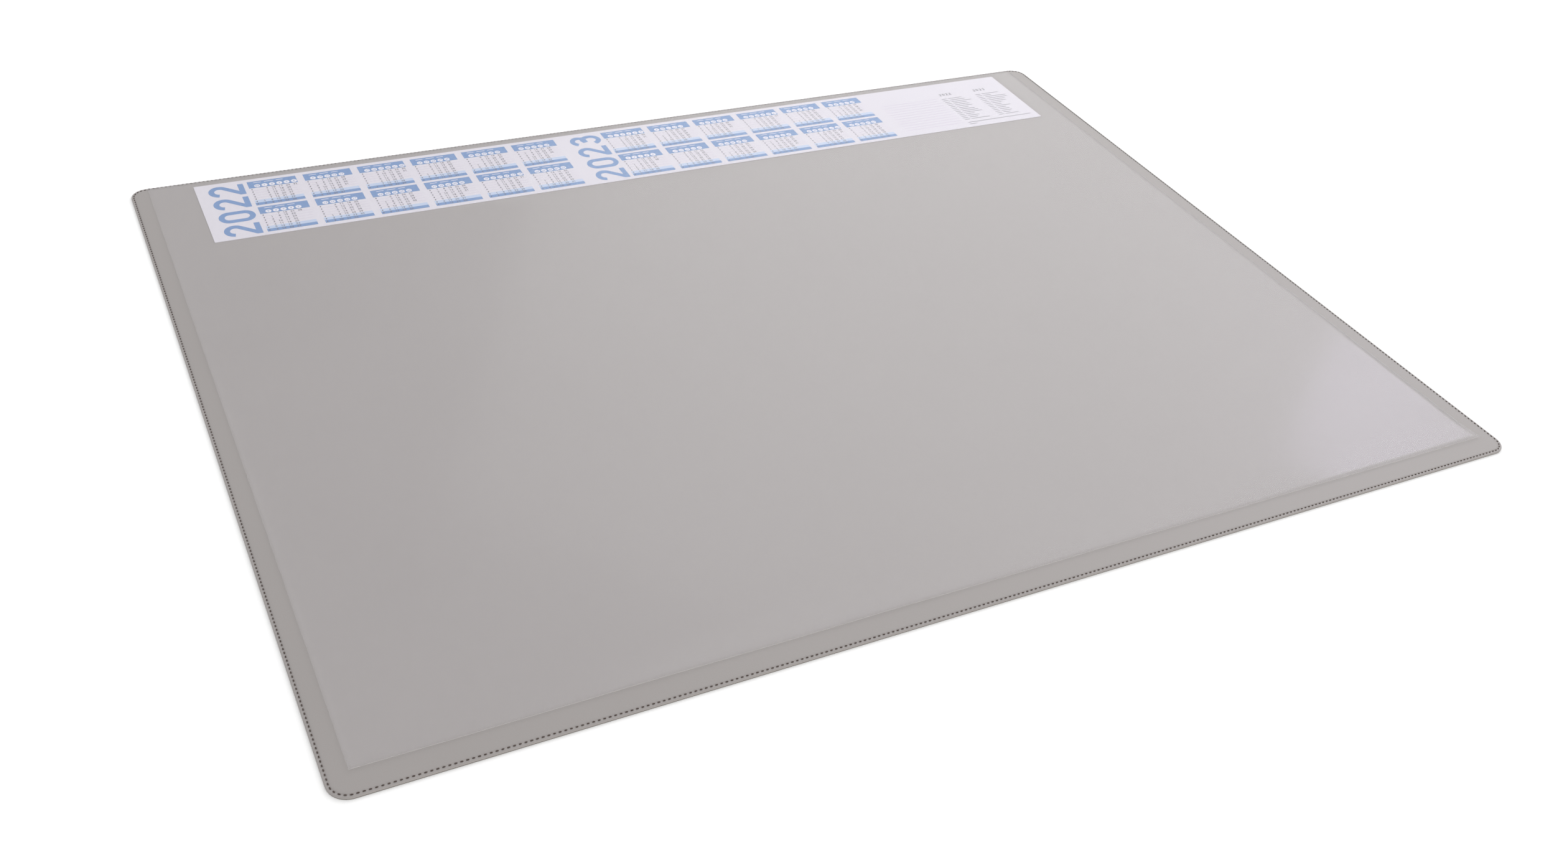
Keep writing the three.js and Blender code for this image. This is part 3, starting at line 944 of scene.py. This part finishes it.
def month_dates(year, month, left, rear):
    """A column of dates for each week, under its number; single figures stand to the right."""
    for column, week in enumerate(calendar.Calendar().monthdayscalendar(year, month)):
        x = left + week_inset + column * week_pitch
        first_day = next(day for day in week if day)
        number = datetime.date(year, month, first_day).isocalendar()[1]
        discs.mark(disc_stamp, x, rear - disc_offset, disc_size, disc_size)
        weeks.number(str(number), x, rear - disc_offset, week_height)
        for weekday, day in enumerate(week):
            if not day:
                continue
            y = rear - day_offset - weekday * day_pitch
            target = days if weekday < working_days else weekend_days
            shift = 0 if day > 9 else figure_spacing / 2 * day_height
            target.number(str(day), x + shift, y, day_height)


for year in years:
    for month in range(1, 13):
        left, rear = month_corner(year, month)
        month_frame(left, rear)
        month_dates(year, month, left, rear)
print("dates:", len(days.marks) + len(weekend_days.marks), "marks")

# %% Years on end
numeral_height, numeral_pitch = 21.4 * mm, 16.1 * mm
numeral_inset, numeral_front = 28.4 * mm, 3.0 * mm
for index, year in enumerate(years):
    x = card_left + numeral_inset + index * year_pitch
    for place, figure in enumerate(str(year)):
        y = card_front + numeral_front + place * numeral_pitch
        stamp = large_figure + int(figure)
        bands.mark(stamp, x, y, numeral_height, numeral_height, math.pi / 2)
print("blue marks:", len(bands.marks))

# %% [markdown]
# The right end of the card is for notes: a block of ruled lines, and beside it two short lists under the
# years. The lists are left as plain bars of ink, so nothing on the card can be read but numbers.

# %% Notes and lists
notes_left, notes_width, notes_rear = 474.6 * mm, 48 * mm, 22 * mm
notes_pitch, notes_lines, notes_depth = 3.5 * mm, 12, 0.3 * mm
for line_number in range(notes_lines):
    rear = card_rear - notes_rear - line_number * notes_pitch
    rulings.bar(card_left + notes_left, rear, notes_width, notes_depth)

lists_left, lists_pitch, lists_rear = 525.6 * mm, 29.6 * mm, 23.4 * mm
entry_count, entry_step, entry_depth = 14, 2.55 * mm, 0.75 * mm
date_width, name_inset, name_least, name_most = 4.2 * mm, 5.6 * mm, 6 * mm, 18 * mm
heading_inset, heading_drop, heading_height = 6.9 * mm, 17 * mm, 3.0 * mm
heading_spacing = 0.92
footnote_rear, footnote_widths = 61.2 * mm, (54 * mm, 6 * mm)
list_seed = random.Random(11)
for index, year in enumerate(years):
    left = card_left + lists_left + index * lists_pitch
    heading_y = card_rear - heading_drop
    days.number(str(year), left + heading_inset, heading_y, heading_height, heading_spacing)
    for entry in range(entry_count):
        rear = card_rear - lists_rear - entry * entry_step
        captions.bar(left, rear, date_width, entry_depth)
        captions.bar(left + name_inset, rear, list_seed.uniform(name_least, name_most), entry_depth)
for entry, width in enumerate(footnote_widths):
    rear = card_rear - footnote_rear - entry * entry_step
    captions.bar(card_left + lists_left, rear, width, entry_depth)

for sheet in (bands, pale_bands, rulings, captions, days, weekend_days, discs, weeks):
    sheet.press()

# %% [markdown]
# ## Clear film
# The film is one thin sheet whose height follows simple rules: it lies on the pad, rises over the card with
# a short ramp, stands off the pad in a soft wave along its front edge and a little along its sides, and is
# pressed into the seam at the rear. A grid with its lines where the shape changes can follow all of that.
# The sheet gets a lower and an upper side, and walls between them with the finish of the cut edge.

# %% Height of the film
film_front, film_rear = film_low.y, film_high.y
front_lift, left_lift, right_lift, corner_lift = 0.65 * mm, 0.55 * mm, 0.08 * mm, 0.3 * mm
wave_height, wave_count = 0.12 * mm, 5
lift_reach, rear_fade, film_ramp = 24 * mm, 70 * mm, 3 * mm
print_room, film_gap = 0.13 * mm, 0.06 * mm
strip_rear_gap = pad_half_depth - strip_high.y


def falloff(distance, reach):
    """1 at the edge and 0 from the reach on."""
    return np.clip(1 - distance / reach, 0, 1) ** 2


def smooth(share):
    """An S curve from 0 to 1."""
    share = np.clip(share, 0, 1)
    return share * share * (3 - 2 * share)


def film_lift(x, y):
    """How far the loose edges stand off the pad."""
    to_front, to_left, to_right = y - film_front, x + film_half, film_half - x
    to_seam = pad_half_depth - seam_inset - y
    held = 1 - falloff(np.maximum(to_seam - strip_rear_gap, 0), rear_fade)
    wave = np.cos(to_left / (2 * film_half) * wave_count * 2 * math.pi)
    front = (front_lift + wave_height * wave) * falloff(to_front, lift_reach)
    sides = left_lift * falloff(to_left, lift_reach) + right_lift * falloff(to_right, lift_reach)
    corner = corner_lift * falloff(to_front, lift_reach) * falloff(to_right, lift_reach)
    return np.maximum(front, sides * held) + corner


def over_strip(x, y):
    """How far the card under it raises the film."""
    out_x = np.maximum(np.maximum(strip_low.x - x, x - strip_high.x), 0)
    out_y = np.maximum(np.maximum(strip_low.y - y, y - strip_high.y), 0)
    share = smooth(1 - out_x / film_ramp) * smooth(1 - out_y / film_ramp)
    return share * (card_top - cover_top + print_room - film_gap)


rim_insets, rim_heights, _ = zip(*rings[1:])


def film_under(x, y):
    """Height of the film's lower side."""
    inset = pad_half_depth - y
    in_rim = np.interp(inset, rim_insets, rim_heights) + film_seat
    on_pad = cover_top + film_gap + film_lift(x, y) + over_strip(x, y)
    return np.where(inset < seam_inset + groove_reach, in_rim, on_pad)


rear_height = float(film_under(np.array([0.0]), np.array([film_rear]))[0])
print("film's lower side at the rear edge:", round(rear_height / mm, 2), "mm")


# %% Film sheet
film_step, edge_step, fine_step = 7 * mm, 3 * mm, 0.6 * mm
least_step = 0.02 * mm


def stations(start, end, step):
    """Evenly spaced grid lines, near the step that is asked for."""
    return np.linspace(start, end, max(2, round((end - start) / step) + 1))


def ascending(*lists):
    """All lines in order, without those that nearly meet."""
    values = np.unique(np.round(np.concatenate(lists), 7))
    return values[np.concatenate([[True], np.diff(values) > least_step])]


xs = ascending(
    stations(-film_half, -film_half + lift_reach, edge_step),
    stations(strip_low.x - film_ramp, strip_low.x, fine_step),
    stations(-film_half + lift_reach, film_half - lift_reach, film_step),
    stations(strip_high.x, strip_high.x + film_ramp, fine_step),
    stations(film_half - lift_reach, film_half, edge_step),
)
ys = ascending(
    stations(film_front, film_front + lift_reach, edge_step),
    stations(film_front + lift_reach, strip_low.y - film_ramp, film_step),
    stations(strip_low.y - film_ramp, strip_low.y, fine_step),
    stations(strip_low.y, strip_high.y, film_step),
    stations(strip_high.y, strip_high.y + film_ramp, fine_step),
    pad_half_depth - np.array(rim_insets[1:]),
    [film_rear],
)
ys = ys[ys <= film_rear + 1e-9]
grid_x, grid_y = np.meshgrid(xs, ys)
under = film_under(grid_x, grid_y)
wide, deep = len(xs), len(ys)
layer = wide * deep
film_points = [
    (x, y, z + lift)
    for lift in (0, film_thickness)
    for x, y, z in zip(grid_x.ravel(), grid_y.ravel(), under.ravel())
]
sheet_faces = []
for row in range(deep - 1):
    for column in range(wide - 1):
        a = row * wide + column
        b, c, d = a + 1, a + wide + 1, a + wide
        sheet_faces += [(a, d, c, b), (a + layer, b + layer, c + layer, d + layer)]
border = list(range(wide)) + [row * wide + wide - 1 for row in range(1, deep)]
border += [(deep - 1) * wide + i for i in range(wide - 2, -1, -1)]
border += [row * wide for row in range(deep - 2, 0, -1)]
walls = [(a, b, b + layer, a + layer) for a, b in zip(border, border[1:] + border[:1])]
film = mesh_object("clear_film_sheet", film_points, sheet_faces + walls, [clear_film, film_edge])
for face in film.data.polygons[len(sheet_faces) :]:
    face.material_index = 1
    face.use_smooth = False
keep(film, "clear_film", "clear_overlay")

# %% [markdown]
# ## Floor and light
# The pad lies on a plain white surface. The floor's own colour is pale, and it glows a little, more so at a
# distance from the pad, so that the open floor is white and the shadow stays. A large soft panel stands
# behind and to the right and draws a thin shadow along the front and left edges. A small light beside it is
# mirrored in the film near the front right corner. A low, wide light in front brightens the front rim, and
# the white world fills the rest.

# %% Floor
near_reach, far_ramp = 20 * mm, 100 * mm
near_glow, far_glow = 0.15, 0.5
floor_half, floor_drop = 4.0, 0.02 * mm

floor_material, maker, shader = finish("floor", {"Base Color": screen(238, 238, 238), "Roughness": 0.9})
place = maker.node("ShaderNodeSeparateXYZ", None, {"Vector": place_on(maker)})
outside_x = maker.out(place, "X").absolute() - (pad_half_length + near_reach)
outside_y = maker.out(place, "Y").absolute() - (pad_half_depth + near_reach)
far = (outside_x.maximum(outside_y) / far_ramp).clamped()
strength = far * (far_glow - near_glow) + near_glow
glow = maker.node("ShaderNodeEmission", None, {"Color": (1, 1, 1, 1), "Strength": strength})
halves = {0: maker.out(shader, "BSDF"), 1: maker.out(glow, "Emission")}
both = maker.node("ShaderNodeAddShader", None, halves)
output = next(n for n in maker.tree.nodes if n.type == "OUTPUT_MATERIAL")
maker.tree.links.new(maker.out(both, "Shader").socket, output.inputs["Surface"])
signs = ((-1, -1), (1, -1), (1, 1), (-1, 1))
corners = [(x * floor_half, y * floor_half, -floor_drop) for x, y in signs]
floor = mesh_object("floor", corners, [(0, 1, 2, 3)], [floor_material])
print("floor:", [round(v, 1) for v in floor.dimensions])


# %% Lights
def softbox(name, place, target, size, shape, power, color):
    """A rectangular area light that faces a point; shape is its height over its width."""
    lamp = bpy.data.lights.new(name, "AREA")
    lamp.shape, lamp.color = "RECTANGLE", color
    lamp.size, lamp.size_y, lamp.energy = size, size * shape, power
    light = bpy.data.objects.new(name, lamp)
    light.location = place
    light.rotation_euler = (Vector(target) - Vector(place)).to_track_quat("-Z", "Y").to_euler()
    bpy.context.scene.collection.objects.link(light)
    print(f"{name}: {power} W, {light.location.length:.2f} m from the pad's middle")


white, lilac, warm_white = (1, 1, 1), (0.8, 0.72, 1), (1, 0.95, 0.86)
softbox("panel_light", (1.27, 1.18, 1.1), (0, 0, 0), 2.2, 0.6, 18, white)
softbox("corner_glow", (1.38, 0.58, 0.85), (0.275, -0.19, 0), 0.2, 1, 0.95, lilac)
softbox("front_fill", (0.1, -1.05, 0.12), (0, -pad_half_depth, 0), 1.2, 0.12, 1.9, warm_white)

ambient = 0.9  # the camera sees a full white, and everything else gets this share of it
world = bpy.data.worlds.new("studio")
bpy.context.scene.world = world
world.use_nodes = True
maker = Maker(world.node_tree)
camera_ray = maker.out(maker.node("ShaderNodeLightPath"), "Is Camera Ray")
strength = camera_ray * (1 - ambient) + ambient
sky = maker.node("ShaderNodeBackground", None, {"Color": (1, 1, 1, 1), "Strength": strength})
maker.node("ShaderNodeOutputWorld", None, {"Surface": maker.out(sky, "Background")})
bpy.context.scene.view_settings.view_transform = "Standard"

# %% [markdown]
